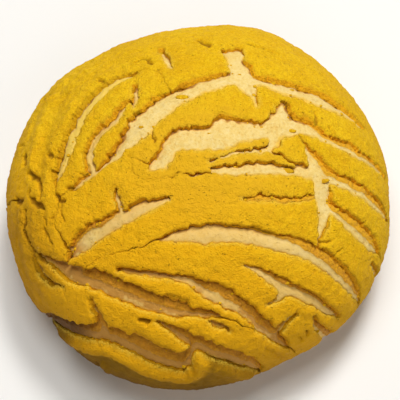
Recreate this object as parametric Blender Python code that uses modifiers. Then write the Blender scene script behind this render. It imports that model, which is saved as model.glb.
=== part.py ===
"""A concha: a round sweet bun under a crust of yellow sugar paste that cracked into plates in the oven.

The paste starts as a flat sheet. It is cut along the cracks, and each plate that is left is then
laid over the bun. Lengths are in metres, with +Z up, and the bun stands on z = 0. Places on the flat
sheet are in millimetres: right of the crown, and away behind it.
"""

import math
from bisect import bisect_right

import bmesh
import bpy
from mathutils import Vector
from mathutils.geometry import delaunay_2d_cdt

MM = 0.001

# The bun: a low dome over a rounded foot, on a flat base.
BUN_RADIUS = 57.5
EQUATOR_HEIGHT = 19.0
DOME_RISE = 36.5
BASE_RADIUS = 43.0
FOOT_ROUNDING = 2.2
PROFILE_SAMPLES = 240
BUN_SEGMENTS = 44
DOME_RINGS = 12
FOOT_RINGS = 6

# Where hands and the oven left the round outline uneven: direction and spread in degrees, and how
# far the side stands in or out there, as a share of the radius.
SWELLS = [
    (70, 14, 0.025),
    (102, 27, -0.050),
    (126, 9, -0.017),
    (150, 30, -0.014),
    (195, 30, -0.026),
    (224, 9, -0.019),
    (240, 20, -0.005),
    (275, 20, -0.023),
    (298, 18, -0.050),
    (350, 22, 0.004),
]
SWELL_FULL_RADIUS = 37.5

# The crown's place, off the middle of the uneven outline that the origin lies under.
CROWN = Vector((-0.5, 0.5, 0))

# The paste: how far it reaches from the crown along the bun, how thick it is, how much thinner it
# gets with each millimetre to the right and to the back, and its gap above the bun.
RIM_REACH = 84.0
RIM_WAVES = [(5, 0.9, 0.4), (9, 0.7, 2.1), (17, 0.5, 4.0)]
RIM_STEP = 4.5
PASTE_THICKNESS = 2.1
THINNING = Vector((0.0048, 0.0067))
BED_GAP = 0.38

# How finely the sheet is cut: the mesh inside a plate, in rows of even triangles, the steps along a
# crack, the room kept between the two, and how near points may come before they are one.
SHEET_GRID = 6.0
ROW_STEP = SHEET_GRID * math.sin(math.radians(60))
CRACK_STEP = 2.4
GRID_CLEARANCE = 2.2
SMALLEST_EDGE = 0.25
MERGE_DISTANCE = 0.0001

# The cracks, by name. Each is a route over the flat sheet, in millimetres right of the crown, away
# behind it, and across the crack. It ends in a tip, in a neighbour or out over the rim.
CRACKS = {
    "crown_top": [(10.8, 37.6, 7.2), (11.6, 31.5, 4.6), (12.8, 27, 6.6), (14.2, 23, 6.0),
                  (16.4, 19, 2.0), (17.6, 15, 0.6)],
    "arch": [(-42.4, -10.6, 0.6), (-38, -9.2, 1.0), (-33, -6.4, 2.0), (-28, -3.6, 1.4), (-23.4, -0.4, 3.0),
             (-19.7, 3.7, 5.0), (-16.2, 8.2, 8.0), (-12.8, 11.8, 6.4), (-9.8, 14.8, 6.8), (-5, 18.4, 5.8),
             (2, 21.8, 4.8), (11, 24.4, 4.6)],
    "heart": [(-14, -4.8, 2.0), (-10.2, -3.6, 4.6), (-7.6, 1, 5.0), (-4, 3.6, 7.2), (1, 3.3, 7.0),
              (5, 4, 8.0), (8.4, 5.8, 10.4), (11, 6.7, 7.2), (15, 6.6, 6.6), (19, 6.6, 3.8)],
    "heart_peak": [(17, 6.4, 3.6), (21, 7.6, 6.0), (24.6, 12, 6.0), (25.6, 18, 1.0)],
    "heart_right": [(22, 7.4, 5.0), (27, 9.4, 6.4), (33, 9.8, 4.2), (38, 7.8, 2.6)],
    "right_upper": [(14, 24.6, 3.0), (21, 24.2, 2.8), (25, 23.4, 4.0), (31, 22.8, 4.0), (37, 22, 5.0),
                    (46, 20.2, 2.8), (54, 18.2, 0.6)],
    "right_second": [(36, 8, 2.4), (43, 7.2, 3.2), (50, 5.8, 3.4), (57, 5.2, 2.4), (64, 3.6, 0.6)],
    "right_third": [(33.4, 1.5, 2.0), (38, -4, 4.0), (47, -5.8, 4.0), (57, -8.4, 3.4), (64, -10.4, 2.0),
                    (71, -12.8, 0.7), (90, -20, 0.7)],
    "right_fourth": [(37.6, -13.2, 2.0), (42, -15.4, 3.6), (50, -19, 4.8), (57, -22, 4.2),
                     (62, -24, 1.2), (72, -29, 0.7), (90, -37, 0.7)],
    "right_short": [(58, -27.2, 0.6), (63, -29.4, 1.6), (70, -32.4, 0.8)],
    "upright": [(29, 7.2, 1.2), (31.4, 4.4, 1.2), (34, -1, 3.6), (35.6, -5, 5.4), (36.6, -11, 4.8),
                (37.2, -16, 3.6), (36.2, -21, 1.8), (35.2, -27, 1.0)],
    "strip_slit": [(12.5, -14.2, 0.5), (18, -13.6, 1.2), (27, -13.2, 1.3), (34.6, -10.8, 0.9)],
    "lens": [(3.6, -6, 1.4), (9, -5.8, 3.0), (18, -4.8, 3.8), (26, -4.5, 3.0), (34, -5, 2.6)],
    "block_foot": [(-5, -6.6, 0.6), (-1, -7.5, 1.3), (5, -6.4, 1.0)],
    "sliver_gap": [(3.4, -3.6, 0.6), (9, -1.1, 1.0), (15, 0.3, 1.0), (20.4, 1.6, 2.6), (22.2, 5.4, 2.8)],
    "island_foot": [(20.4, 1.0, 1.6), (25, -1.2, 1.2), (29, -2.7, 1.6), (34, -3, 2.4)],
    "waist": [(-34.4, -33.4, 0.6), (-30, -30.8, 0.6), (-20, -28.6, 0.8), (-11, -25.8, 1.2),
              (-5, -24.9, 3.4), (2, -24.8, 5.4), (12, -25.4, 4.9), (21, -26.3, 4.8), (29, -26.9, 5.8),
              (37, -29.4, 5.0), (46, -34, 4.2), (52.6, -37.8, 3.4), (59, -41.4, 1.4), (70, -46.6, 0.7),
              (88, -55, 0.7)],
    "left_middle": [(-40.8, -32.4, 0.8), (-39, -29.4, 1.6), (-36, -26.4, 4.8), (-30.5, -23.2, 5.8),
                    (-24, -20.6, 4.4), (-17, -17.5, 3.8), (-11.5, -15.5, 2.4), (-7.6, -14.2, 1.4)],
    "left_middle_branch": [(-21.8, -18.6, 1.8), (-22.4, -15, 1.4), (-23.4, -10.6, 0.6)],
    "left_middle_cleft": [(-43.4, -18.6, 0.5), (-41, -22.4, 1.1), (-39, -26.4, 1.3), (-37.6, -28, 1.6)],
    "left_rim": [(-90, 0, 1.8), (-72, -4, 1.2), (-62, -6.2, 1.2), (-58, -8.8, 0.8), (-57, -18, 0.6)],
    "deep": [(-57.4, -16, 0.6), (-55, -21.6, 1.1), (-50, -26.8, 1.6), (-44, -30.4, 3.0),
             (-38, -34.6, 5.6), (-30, -36.4, 5.8), (-22, -39.4, 6.0), (-13, -43.4, 5.4),
             (-4, -46.4, 3.4), (6, -48.2, 1.5), (12, -50.4, 1.0), (22, -55, 0.9)],
    "left_cleft": [(-53.4, -27.8, 0.5), (-50.6, -33, 1.3), (-46.6, -36.2, 1.4), (-42.6, -37.6, 0.5)],
    "second_diagonal": [(-23, -33.6, 0.6), (-15, -35, 1.8), (-5, -36.8, 1.8), (1, -39.6, 3.6),
                        (6, -42, 5.6), (13, -46, 4.4), (22, -53, 4.2), (28, -57.6, 3.2),
                        (35, -61.8, 1.2), (44, -67.6, 0.7), (58, -76, 0.7)],
    "low_slit": [(3.4, -49.8, 0.5), (7, -51.2, 1.3), (10.5, -53.3, 0.5)],
    "right_slit": [(13.5, -34, 0.5), (19, -35.8, 1.8), (27, -39.8, 4.0), (36, -42.2, 3.6),
                   (44, -45.6, 2.6), (50, -47.6, 0.5)],
    "right_slit_foot": [(28, -41, 1.8), (25.4, -44, 1.6), (22, -46, 0.5)],
    "junction": [(32.2, -47.4, 0.5), (29.6, -50.2, 1.5), (27.2, -54, 2.6), (27, -57.6, 2.6)],
    "right_notch": [(39, -48, 0.6), (40.6, -51, 2.4), (47, -54.6, 3.4), (56, -59.4, 3.8), (78, -71, 4.4)],
    "lower": [(-12, -48.8, 0.6), (-7.5, -51.4, 2.8), (-1, -55.8, 3.6), (6, -60, 4.6), (14, -63.8, 5.0),
              (20, -67.6, 4.4), (24, -71.4, 2.4), (28, -77, 0.7), (34, -88, 0.7)],
    "lower_link": [(0, -56.4, 3.0), (-2.6, -60.5, 2.8), (-4, -65, 4.0)],
    "front": [(-80, -54, 0.8), (-68, -50.4, 2.2), (-58, -49.6, 5.0), (-50, -50.4, 6.0), (-39, -52.2, 5.0),
              (-29, -52.4, 5.8), (-22, -55.2, 5.8), (-13, -60.8, 5.8), (-3.4, -64.6, 5.0)],
    "front_branch": [(-28.6, -51, 3.0), (-30.8, -46.5, 2.2), (-31.5, -42, 0.6)],
    "left_arc": [(-16, 31, 0.6), (-22, 28.6, 1.8), (-30, 21.8, 2.6), (-36, 12.4, 2.8), (-40, 2, 3.2),
                 (-43, -6, 1.4), (-42, -11, 0.9), (-41.8, -15, 0.6), (-43.6, -19.4, 0.6)],
    "left_arc_top": [(-17, 31, 0.6), (-12.6, 29.6, 0.6), (-10.4, 25.6, 0.7), (-6.6, 17.6, 0.8)],
    "heart_tail": [(-21, 0.8, 0.6), (-18.4, -2, 0.6), (-13, -4, 1.0)],
    "block_tail": [(-18.6, -1.8, 0.6), (-18.6, -5.6, 0.5), (-16, -8, 0.6), (-10, -8.4, 0.6),
                   (-4.6, -6.7, 0.8)],
    "left_inner": [(-20.4, 17.2, 0.6), (-24, 11.6, 1.9), (-29.4, 6.8, 2.4), (-31.8, 1.4, 2.4),
                   (-30.8, -5, 1.6)],
    "left_nick": [(-18.6, 23.8, 0.5), (-18.2, 19, 1.6), (-18.5, 14.8, 0.5)],
    "top_left_nick": [(-11.8, 40.8, 0.6), (-10, 36, 2.2), (-8.2, 30.6, 0.8)],
    "back_arc": [(-24, 60, 0.5), (-8, 65, 2.2), (10, 67.5, 3.0), (27, 66, 2.4)],
    "back_arc_right": [(40, 56, 0.5), (52, 51, 2.2), (63, 42, 2.6), (69, 34, 0.6)],
    "back_arc_left": [(-46, 55, 0.5), (-58, 46, 2.0), (-67, 33, 2.4), (-71, 22, 0.6)],
    "front_rim": [(-36, -66, 0.5), (-41, -74, 1.8), (-47, -86, 3.0)],
    "back_rim_left": [(-33, 66, 0.6), (-38, 74, 2.0), (-44, 88, 3.4)],
    "back_rim_right": [(26, 64, 0.6), (28, 75, 2.2), (33, 90, 3.4)],
    "side_rim_right": [(66, 26, 0.6), (75, 30, 2.0), (90, 38, 3.4)],
    "side_rim_left": [(-70, 14, 0.6), (-78, 18, 1.8), (-92, 22, 3.0)],
}

# The plates that the cracks leave, each with the middle of its area on the flat sheet.
PLATES = {
    "crust_back": (0, 35),
    "crust_left": (-25, 12),
    "crust_heart": (4, -3),
    "crust_island": (27, 2),
    "crust_middle": (-4, -16),
    "crust_right_upper": (61, -17),
    "crust_right_lower": (56, -31),
    "crust_belly": (25, -43),
    "crust_lower": (-37, -39),
    "crust_front": (-18, -69),
}

PASTE_COLOUR = (0.80, 0.47, 0.02, 1.0)
BREAD_COLOUR = (0.84, 0.60, 0.22, 1.0)
SHARP_EDGE = math.radians(40)


def bun_profile():
    """Distance from the crown along the bun, radius and height, from the crown to the base's edge."""
    points = []
    for i in range(PROFILE_SAMPLES + 1):
        angle = math.pi / 2 * i / PROFILE_SAMPLES
        points.append((BUN_RADIUS * math.sin(angle), EQUATOR_HEIGHT + DOME_RISE * math.cos(angle)))
    for i in range(1, PROFILE_SAMPLES + 1):
        angle = math.pi / 2 * i / PROFILE_SAMPLES
        side = max(math.cos(angle), 0.0) ** (2 / FOOT_ROUNDING)
        drop = math.sin(angle) ** (2 / FOOT_ROUNDING)
        points.append((BASE_RADIUS + (BUN_RADIUS - BASE_RADIUS) * side, EQUATOR_HEIGHT * (1 - drop)))
    distance = 0.0
    profile = [(distance, *points[0])]
    for (r0, z0), (r1, z1) in zip(points, points[1:]):
        distance += math.hypot(r1 - r0, z1 - z0)
        profile.append((distance, r1, z1))
    return profile


PROFILE = bun_profile()
DISTANCES = [row[0] for row in PROFILE]


def on_profile(distance, lift):
    """Radius and height at a distance from the crown, lifted off the bun at a right angle."""
    i = min(max(bisect_right(DISTANCES, distance), 1), len(PROFILE) - 1)
    s0, r0, z0 = PROFILE[i - 1]
    s1, r1, z1 = PROFILE[i]
    share = (distance - s0) / (s1 - s0)
    out_r = (z0 - z1) / (s1 - s0)
    out_z = (r1 - r0) / (s1 - s0)
    return r0 + (r1 - r0) * share + lift * out_r, z0 + (z1 - z0) * share + lift * out_z


def swell(azimuth, radius):
    """How far the uneven outline pushes a point of this radius in or out."""
    share = min(radius / SWELL_FULL_RADIUS, 1.0)
    share *= share * (3 - 2 * share)
    factor = 1.0
    for direction, spread, amount in SWELLS:
        turn = (math.degrees(azimuth) - direction + 180) % 360 - 180
        factor += share * amount * math.exp(-((turn / spread) ** 2))
    return factor


def lay(u, v, lift):
    """The place on the bun of a point of the flat sheet, in metres."""
    azimuth = math.atan2(v, u)
    radius, height = on_profile(math.hypot(u, v), lift)
    radius *= swell(azimuth, radius)
    return (Vector((radius * math.cos(azimuth), radius * math.sin(azimuth), height)) + CROWN) * MM


def smooth_route(route):
    """A crack's route and width as a smooth curve through its points."""
    points = [Vector(p) for p in route]
    curve = []
    for i in range(len(points) - 1):
        before = points[max(i - 1, 0)]
        start, end = points[i], points[i + 1]
        after = points[min(i + 2, len(points) - 1)]
        steps = max(1, round((end - start).xy.length / CRACK_STEP))
        for k in range(steps):
            t = k / steps
            curve.append(
                0.5 * (2 * start + (end - before) * t + (2 * before - 5 * start + 4 * end - after) * t * t
                       + (3 * start - before - 3 * end + after) * t ** 3)
            )
    curve.append(points[-1])
    return curve


def crack_outline(route):
    """The closed outline of a crack, anticlockwise: up its right side and back down its left."""
    curve = smooth_route(route)
    left, right = [], []
    for i, point in enumerate(curve):
        ahead = (curve[min(i + 1, len(curve) - 1)] - curve[max(i - 1, 0)]).xy.normalized()
        across = Vector((-ahead.y, ahead.x)) * (max(point.z, 0.0) / 2)
        left.append(point.xy + across)
        right.append(point.xy - across)
    return right + left[::-1]


def rim_outline():
    """The wavy edge of the whole sheet."""
    count = round(2 * math.pi * RIM_REACH / RIM_STEP)
    outline = []
    for i in range(count):
        azimuth = 2 * math.pi * i / count
        reach = RIM_REACH + sum(size * math.sin(n * azimuth + phase) for n, size, phase in RIM_WAVES)
        outline.append(Vector((reach * math.cos(azimuth), reach * math.sin(azimuth))))
    return outline


def grid_points(outlines):
    """Points inside the sheet that let it bend over the bun, clear of every crack and of the rim."""
    edge_points = [p for outline in outlines for p in outline]
    reach = min(point.length for point in outlines[0])
    rows = int(RIM_REACH / ROW_STEP)
    columns = int(RIM_REACH / SHEET_GRID) + 1
    points = []
    for row in range(-rows, rows + 1):
        for column in range(-columns, columns + 1):
            point = Vector(((column + 0.5 * (row % 2)) * SHEET_GRID, row * ROW_STEP))
            if point.length > reach:
                continue
            if min((point - edge).length_squared for edge in edge_points) > GRID_CLEARANCE**2:
                points.append(point)
    return points


def cut_sheet():
    """The flat sheet without its cracks, as a mesh in millimetres."""
    outlines = [rim_outline()] + [crack_outline(route) for route in CRACKS.values()]
    verts, faces = [], []
    for outline in outlines:
        faces.append(list(range(len(verts), len(verts) + len(outline))))
        verts += outline
    verts += grid_points(outlines)
    verts, _, triangles, _, _, owners = delaunay_2d_cdt(verts, [], faces, 1, SMALLEST_EDGE / 10)
    sheet = bmesh.new()
    corners = [sheet.verts.new((vert.x, vert.y, 0)) for vert in verts]
    for triangle, owner in zip(triangles, owners):
        if list(owner) == [0]:
            sheet.faces.new([corners[i] for i in triangle])
    bmesh.ops.remove_doubles(sheet, verts=sheet.verts, dist=SMALLEST_EDGE)
    return sheet


def plates_of(sheet):
    """The faces of each plate, which hang together by whole edges."""
    seen = set()
    for face in sheet.faces:
        if face in seen:
            continue
        seen.add(face)
        plate, queue = [], [face]
        while queue:
            current = queue.pop()
            plate.append(current)
            for other in (f for edge in current.edges for f in edge.link_faces):
                if other not in seen:
                    seen.add(other)
                    queue.append(other)
        yield plate


def plate_name(plate):
    """The name whose place is nearest the middle of a plate's area."""
    area = sum(face.calc_area() for face in plate)
    middle = sum((face.calc_center_median() * face.calc_area() for face in plate), Vector()) / area
    return min(PLATES, key=lambda name: (Vector(PLATES[name]) - middle.xy).length)


def principled(name, colour, roughness):
    material = bpy.data.materials.new(name)
    material.use_nodes = True
    shader = material.node_tree.nodes["Principled BSDF"]
    shader.inputs["Base Color"].default_value = colour
    shader.inputs["Roughness"].default_value = roughness
    shader.inputs["Metallic"].default_value = 0.0
    return material


def add_object(name, mesh, material, collection):
    thing = bpy.data.objects.new(name, mesh)
    mesh.materials.append(material)
    mesh.shade_smooth()
    mesh.set_sharp_from_angle(angle=SHARP_EDGE)
    collection.objects.link(thing)
    return thing


def evaluated_mesh(thing):
    """The object's mesh with its modifiers applied; the object is removed."""
    bpy.context.view_layer.update()
    graph = bpy.context.evaluated_depsgraph_get()
    mesh = bpy.data.meshes.new_from_object(thing.evaluated_get(graph))
    bpy.data.objects.remove(thing)
    return mesh


def make_bun(collection):
    """A turned profile, with the outline then swelled and dented all round."""
    equator, base_edge = DISTANCES[PROFILE_SAMPLES], DISTANCES[-1]
    dome = [equator * i / DOME_RINGS for i in range(DOME_RINGS + 1)]
    foot = [equator + (base_edge - equator) * i / FOOT_RINGS for i in range(1, FOOT_RINGS + 1)]
    profile = [on_profile(distance, 0) for distance in dome + foot] + [(0.0, 0.0)]
    mesh = bpy.data.meshes.new("bun_profile")
    mesh.from_pydata([(r, 0, z) for r, z in profile], [(i, i + 1) for i in range(len(profile) - 1)], [])
    turned = bpy.data.objects.new("bun_profile", mesh)
    collection.objects.link(turned)
    screw = turned.modifiers.new("turn", "SCREW")
    screw.steps = screw.render_steps = BUN_SEGMENTS
    screw.use_merge_vertices = True
    screw.merge_threshold = MERGE_DISTANCE
    mesh = evaluated_mesh(turned)
    mesh.name = "bun"
    for vert in mesh.vertices:
        azimuth = math.atan2(vert.co.y, vert.co.x)
        factor = swell(azimuth, math.hypot(vert.co.x, vert.co.y))
        vert.co = (Vector((vert.co.x * factor, vert.co.y * factor, vert.co.z)) + CROWN) * MM
    add_object("bun", mesh, principled("bread", BREAD_COLOUR, 0.7), collection)


def make_plate(name, plate, material, collection):
    """One plate: its flat faces thickened to a unit, then laid over the bun at the paste's thickness."""
    flat = bmesh.new()
    copies = {}
    for face in plate:
        for vert in face.verts:
            if vert not in copies:
                copies[vert] = flat.verts.new(vert.co)
        flat.faces.new([copies[vert] for vert in face.verts])
    bmesh.ops.recalc_face_normals(flat, faces=flat.faces)
    mesh = bpy.data.meshes.new(name)
    flat.to_mesh(mesh)
    flat.free()
    thick = bpy.data.objects.new(name + "_flat", mesh)
    collection.objects.link(thick)
    solidify = thick.modifiers.new("paste", "SOLIDIFY")
    solidify.thickness = 1.0
    solidify.offset = 1.0
    mesh = evaluated_mesh(thick)
    mesh.name = name
    for vert in mesh.vertices:
        u, v, level = vert.co
        vert.co = lay(u, v, BED_GAP + level * paste_thickness(u, v))
    return add_object(name, mesh, material, collection)


def paste_thickness(u, v):
    """The paste was patted on thinner at the back right than at the front left."""
    return PASTE_THICKNESS - THINNING.dot((u, v))


def main():
    for thing in list(bpy.data.objects):
        bpy.data.objects.remove(thing)
    collection = bpy.data.collections.new("concha")
    bpy.context.scene.collection.children.link(collection)
    make_bun(collection)
    paste = principled("sugar_paste", PASTE_COLOUR, 0.75)
    sheet = cut_sheet()
    for plate in plates_of(sheet):
        make_plate(plate_name(plate), plate, paste, collection)
    sheet.free()


main()
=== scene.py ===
"""The looks of a concha, a sweet bun under a cracked crust of yellow sugar paste.

The crust's plates take their outlines from the CAD model's plates. Places on the crust are in
millimetres over the flat sheet of paste: u to the right of the crown and v away behind it.
"""

import itertools
import math

import bmesh
import bpy
import numpy as np
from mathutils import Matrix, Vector
from mathutils.geometry import delaunay_2d_cdt


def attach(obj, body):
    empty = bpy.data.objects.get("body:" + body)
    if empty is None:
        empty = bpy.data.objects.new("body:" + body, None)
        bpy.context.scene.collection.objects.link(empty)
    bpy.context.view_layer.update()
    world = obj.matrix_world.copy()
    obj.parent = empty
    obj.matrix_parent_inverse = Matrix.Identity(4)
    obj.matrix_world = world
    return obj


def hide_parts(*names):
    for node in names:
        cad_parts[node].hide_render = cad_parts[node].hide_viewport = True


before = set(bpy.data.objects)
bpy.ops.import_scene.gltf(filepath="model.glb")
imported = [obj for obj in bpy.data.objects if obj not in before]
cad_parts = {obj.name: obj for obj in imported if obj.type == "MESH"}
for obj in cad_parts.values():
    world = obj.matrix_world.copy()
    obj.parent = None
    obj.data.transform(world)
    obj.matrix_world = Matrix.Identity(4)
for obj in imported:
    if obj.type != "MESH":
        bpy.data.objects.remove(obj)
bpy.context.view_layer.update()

# The bun: one ball of soft egg dough, baked on its flat foot. It swelled up through the cracks
# of the paste, cream where it was covered longest and browned where the oven reached it. In the
# cracks, shade is painted into its colour: in narrow cracks, along their upper sides, toward the
# front, and over the oven's brown in the low front cracks.
BUN_RADIUS, EQUATOR_HEIGHT, DOME_RISE, BASE_RADIUS, FOOT_ROUNDING = 57.5, 19.0, 36.5, 43.0, 2.2
CROWN = np.array([-0.5, 0.5, 0.0])
PROFILE_STEPS = 240

quarter = np.linspace(0, math.pi / 2, PROFILE_STEPS + 1)
foot_side = np.cos(quarter[1:]).clip(0) ** (2 / FOOT_ROUNDING)
foot_drop = np.sin(quarter[1:]) ** (2 / FOOT_ROUNDING)
profile_r = np.append(BUN_RADIUS * np.sin(quarter),
                      BASE_RADIUS + (BUN_RADIUS - BASE_RADIUS) * foot_side)
profile_z = np.append(EQUATOR_HEIGHT + DOME_RISE * np.cos(quarter),
                      EQUATOR_HEIGHT * (1 - foot_drop))
profile_s = np.append(0, np.cumsum(np.hypot(np.diff(profile_r), np.diff(profile_z))))
slope_r = np.gradient(profile_r, profile_s)
slope_z = np.gradient(profile_z, profile_s)
BASE_EDGE = profile_s[-1]

# The outline swells or pulls in around some directions: each has its direction and its spread in
# degrees, and a share of the radius. A point as far out as SWELL_FULL_RADIUS moves in full.
SWELLS = [(70, 14, 0.025), (102, 27, -0.050), (126, 9, -0.017), (150, 30, -0.014),
          (195, 30, -0.026), (224, 9, -0.019), (240, 20, -0.005), (275, 20, -0.023),
          (298, 18, -0.050), (350, 22, 0.004)]
SWELL_FULL_RADIUS = 37.5
UNSWELL_ROUNDS, UNLAY_ROUNDS = 8, 3


def between(value, low, high):
    """0 below low, 1 above high, and a smooth change from one to the other."""
    share = ((value - low) / (high - low)).clip(0, 1)
    return share * share * (3 - 2 * share)


def swell(azimuth, radius):
    """How far the uneven outline pushes a point of this radius in or out."""
    share = between(radius, 0, SWELL_FULL_RADIUS)
    factor = np.ones_like(azimuth)
    for direction, spread, amount in SWELLS:
        turn = (np.degrees(azimuth) - direction + 180) % 360 - 180
        factor = factor + share * amount * np.exp(-((turn / spread) ** 2))
    return factor


def lay(u, v, lift):
    """The places over the bun, in millimetres, of the sheet's points at a height above the bun."""
    azimuth, distance = np.arctan2(v, u), np.hypot(u, v)
    along = np.interp(distance, profile_s, slope_r), np.interp(distance, profile_s, slope_z)
    radius = np.interp(distance, profile_s, profile_r) - lift * along[1]
    height = np.interp(distance, profile_s, profile_z) + lift * along[0]
    radius = radius * swell(azimuth, radius)
    return np.stack([radius * np.cos(azimuth), radius * np.sin(azimuth), height], -1) + CROWN


def unlay(places):
    """Undoes lay: u, v and the height above the bun of places in millimetres."""
    x, y, z = (places - CROWN).T
    azimuth, swelled = np.arctan2(y, x), np.hypot(x, y)
    radius = swelled
    for _ in range(UNSWELL_ROUNDS):
        radius = swelled / swell(azimuth, radius)
    near = np.hypot(radius[:, None] - profile_r, z[:, None] - profile_z).argmin(1)
    distance = profile_s[near]
    for _ in range(UNLAY_ROUNDS):
        off_r = radius - np.interp(distance, profile_s, profile_r)
        off_z = z - np.interp(distance, profile_s, profile_z)
        along = np.interp(distance, profile_s, slope_r), np.interp(distance, profile_s, slope_z)
        distance = distance + off_r * along[0] + off_z * along[1]
    lift = off_z * along[0] - off_r * along[1]
    return distance * np.cos(azimuth), distance * np.sin(azimuth), lift


# The numbers that stir a place and a seed together into noise.
LATTICE_PRIMES, SEED_PRIME = (374761393, 2246822519, 3266489917), 668265263
LOW_WORD, LOW_HALF = 0xFFFFFFFF, 0xFFFF
UNEVEN_GAIN = 1.6


def uneven(points, size, seed):
    """Smooth noise from -1 to 1 at points in millimetres; its lumps are about `size` across."""
    points = np.asarray(points, float) / size
    cell = np.floor(points).astype(np.int64)
    part = points - cell
    fade = part**3 * (part * (part * 6 - 15) + 10)
    axes = range(points.shape[-1])
    total = 0
    for corner in itertools.product((0, 1), repeat=len(axes)):
        key = np.full(points.shape[:-1], seed * SEED_PRIME, np.int64)
        for axis, prime in zip(axes, LATTICE_PRIMES):
            key = key ^ ((cell[..., axis] + corner[axis]) * prime)
        pull, weight = 0, 1
        for axis in axes:
            key = (key ^ (key >> 15)) * LATTICE_PRIMES[1] & LOW_WORD
            key = (key ^ (key >> 13)) * LATTICE_PRIMES[2] & LOW_WORD
            tilt = (key & LOW_HALF) / (LOW_HALF / 2) - 1
            pull = pull + tilt * (part[..., axis] - corner[axis])
            weight = weight * (fade[..., axis] if corner[axis] else 1 - fade[..., axis])
        total = total + weight * pull
    return (total * UNEVEN_GAIN).clip(-1, 1)


def layered(points, layers):
    """Noise of several sizes added up; each layer has the size of its lumps, a height and a seed."""
    return sum(height * uneven(points, size, seed) for size, height, seed in layers)


# The CAD plates lie BED_GAP above the bun, and anything TOP_STANDS above that is their top.
BED_GAP, TOP_STANDS = 0.38, 0.5


def cut_lines(node):
    """The cut edges of a CAD plate on the flat sheet: pairs of ends, with the paste on one side."""
    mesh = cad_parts[node].data
    places = np.array([vert.co for vert in mesh.vertices]) * 1000
    u, v, lift = unlay(places)
    upper = lift > BED_GAP + TOP_STANDS
    key = [(round(a, 2), round(b, 2)) for a, b in zip(u, v)]
    sides = {}
    for face in mesh.polygons:
        if all(upper[i] for i in face.vertices):
            ends = [key[i] for i in face.vertices]
            for a, b in zip(ends, ends[1:] + ends[:1]):
                sides[frozenset((a, b))] = None if frozenset((a, b)) in sides else (a, b)
    return np.array([side for side in sides.values() if side], float)


# The flat sheet is a square grid of points, and each plate knows how deep they lie inside it.
PLATE_NAMES = sorted(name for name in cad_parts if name.startswith("crust_"))
SHEET_STEP, SHEET_HALF, REACH = 0.38, 88.0, 6.0
sheet_axis = np.arange(-SHEET_HALF, SHEET_HALF, SHEET_STEP)
sheet_u, sheet_v = np.meshgrid(sheet_axis, sheet_axis)


def inside_cuts(lines):
    """How deep each point of the grid lies inside the cut lines, up to REACH; minus outside."""
    depth = np.full(sheet_u.shape, REACH)
    flips = np.zeros(sheet_u.shape, int)
    for (au, av), (bu, bv) in lines:
        low_i, high_i = np.searchsorted(sheet_axis, (min(au, bu) - REACH, max(au, bu) + REACH))
        low_j, high_j = np.searchsorted(sheet_axis, (min(av, bv) - REACH, max(av, bv) + REACH))
        window = slice(low_j, high_j), slice(low_i, high_i)
        along = np.array([bu - au, bv - av])
        to_u, to_v = sheet_u[window] - au, sheet_v[window] - av
        share = ((to_u * along[0] + to_v * along[1]) / max(along @ along, 1e-9)).clip(0, 1)
        gap = np.hypot(to_u - share * along[0], to_v - share * along[1])
        depth[window] = np.minimum(depth[window], gap)
        rows = np.nonzero((sheet_axis < av) != (sheet_axis < bv))[0]
        crossing = au + (sheet_axis[rows] - av) / (bv - av) * (bu - au) if len(rows) else rows
        columns = np.searchsorted(sheet_axis, crossing)
        flips[rows, np.minimum(columns, len(sheet_axis) - 1)] += 1
    return np.where(np.cumsum(flips, 1) % 2 == 1, depth, -depth)


def pick(field, u, v):
    """A field of the sheet's grid read between its points."""
    last = len(sheet_axis) - 1.001
    i = ((u + SHEET_HALF) / SHEET_STEP).clip(0, last)
    j = ((v + SHEET_HALF) / SHEET_STEP).clip(0, last)
    i0, j0 = i.astype(int), j.astype(int)
    a, b = i - i0, j - j0
    return ((field[j0, i0] * (1 - a) + field[j0, i0 + 1] * a) * (1 - b)
            + (field[j0 + 1, i0] * (1 - a) + field[j0 + 1, i0 + 1] * a) * b)


# The plates' edges waver. Where two plates stand close, their edges are tight: 1 in a hairline, 0
# in an open crack.
WAVER_U, WAVER_V = [(4.5, 0.45, 1), (1.9, 0.55, 2)], [(4.5, 0.45, 3), (1.9, 0.55, 4)]
HAIRLINE, CRACK = 0.9, 2.4

flat_grid = np.stack([sheet_u, sheet_v], -1)
waver_u, waver_v = layered(flat_grid, WAVER_U), layered(flat_grid, WAVER_V)
plate_depth = {}
for name in PLATE_NAMES:
    straight = inside_cuts(cut_lines(name))
    plate_depth[name] = pick(straight, sheet_u + waver_u, sheet_v + waver_v)
ranked = np.sort([plate_depth[name] for name in PLATE_NAMES], axis=0)
tightness = 1 - between(-(ranked[-1] + ranked[-2]), HAIRLINE, CRACK)


def route_gap(route, u, v):
    """How far points of the sheet are from a route over it."""
    gaps = []
    for (au, av), (bu, bv) in zip(route, route[1:]):
        along = np.array([bu - au, bv - av])
        share = (((u - au) * along[0] + (v - av) * along[1]) / (along @ along)).clip(0, 1)
        gaps.append(np.hypot(u - au - share * along[0], v - av - share * along[1]))
    return np.min(gaps, 0)


def close_to(route, u, v, near, far):
    """1 within `near` of a route over the sheet, and 0 further than `far` from it."""
    return between(-route_gap(route, u, v), -far, -near)


def softened(field, passes):
    """The field with its steps smoothed away."""
    for _ in range(passes):
        for axis in (0, 1):
            field = (np.roll(field, 1, axis) + np.roll(field, -1, axis) + 2 * field) / 4
    return field


# The paste's edges crumble. Those that face the front are the most ragged, above all behind the
# low front. Hairlines close up, but for one slit that gapes.
SIDE_SHARE, EDGE_SMOOTHING = 0.016, 6
CRUMBLE, RAGGED_LOW, RAGGED_HIGH = 0.26, 0.12, 0.43
CRUMBLE_MEAN, RAGGED_MEAN = 0.08, 0.18
HAIRLINE_CLOSES, SLIT_GAPES = 0.36, 0.12
STRIP_SLIT = [(12.5, -14.2), (18, -13.6), (27, -13.2), (32.5, -11.4)]

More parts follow.
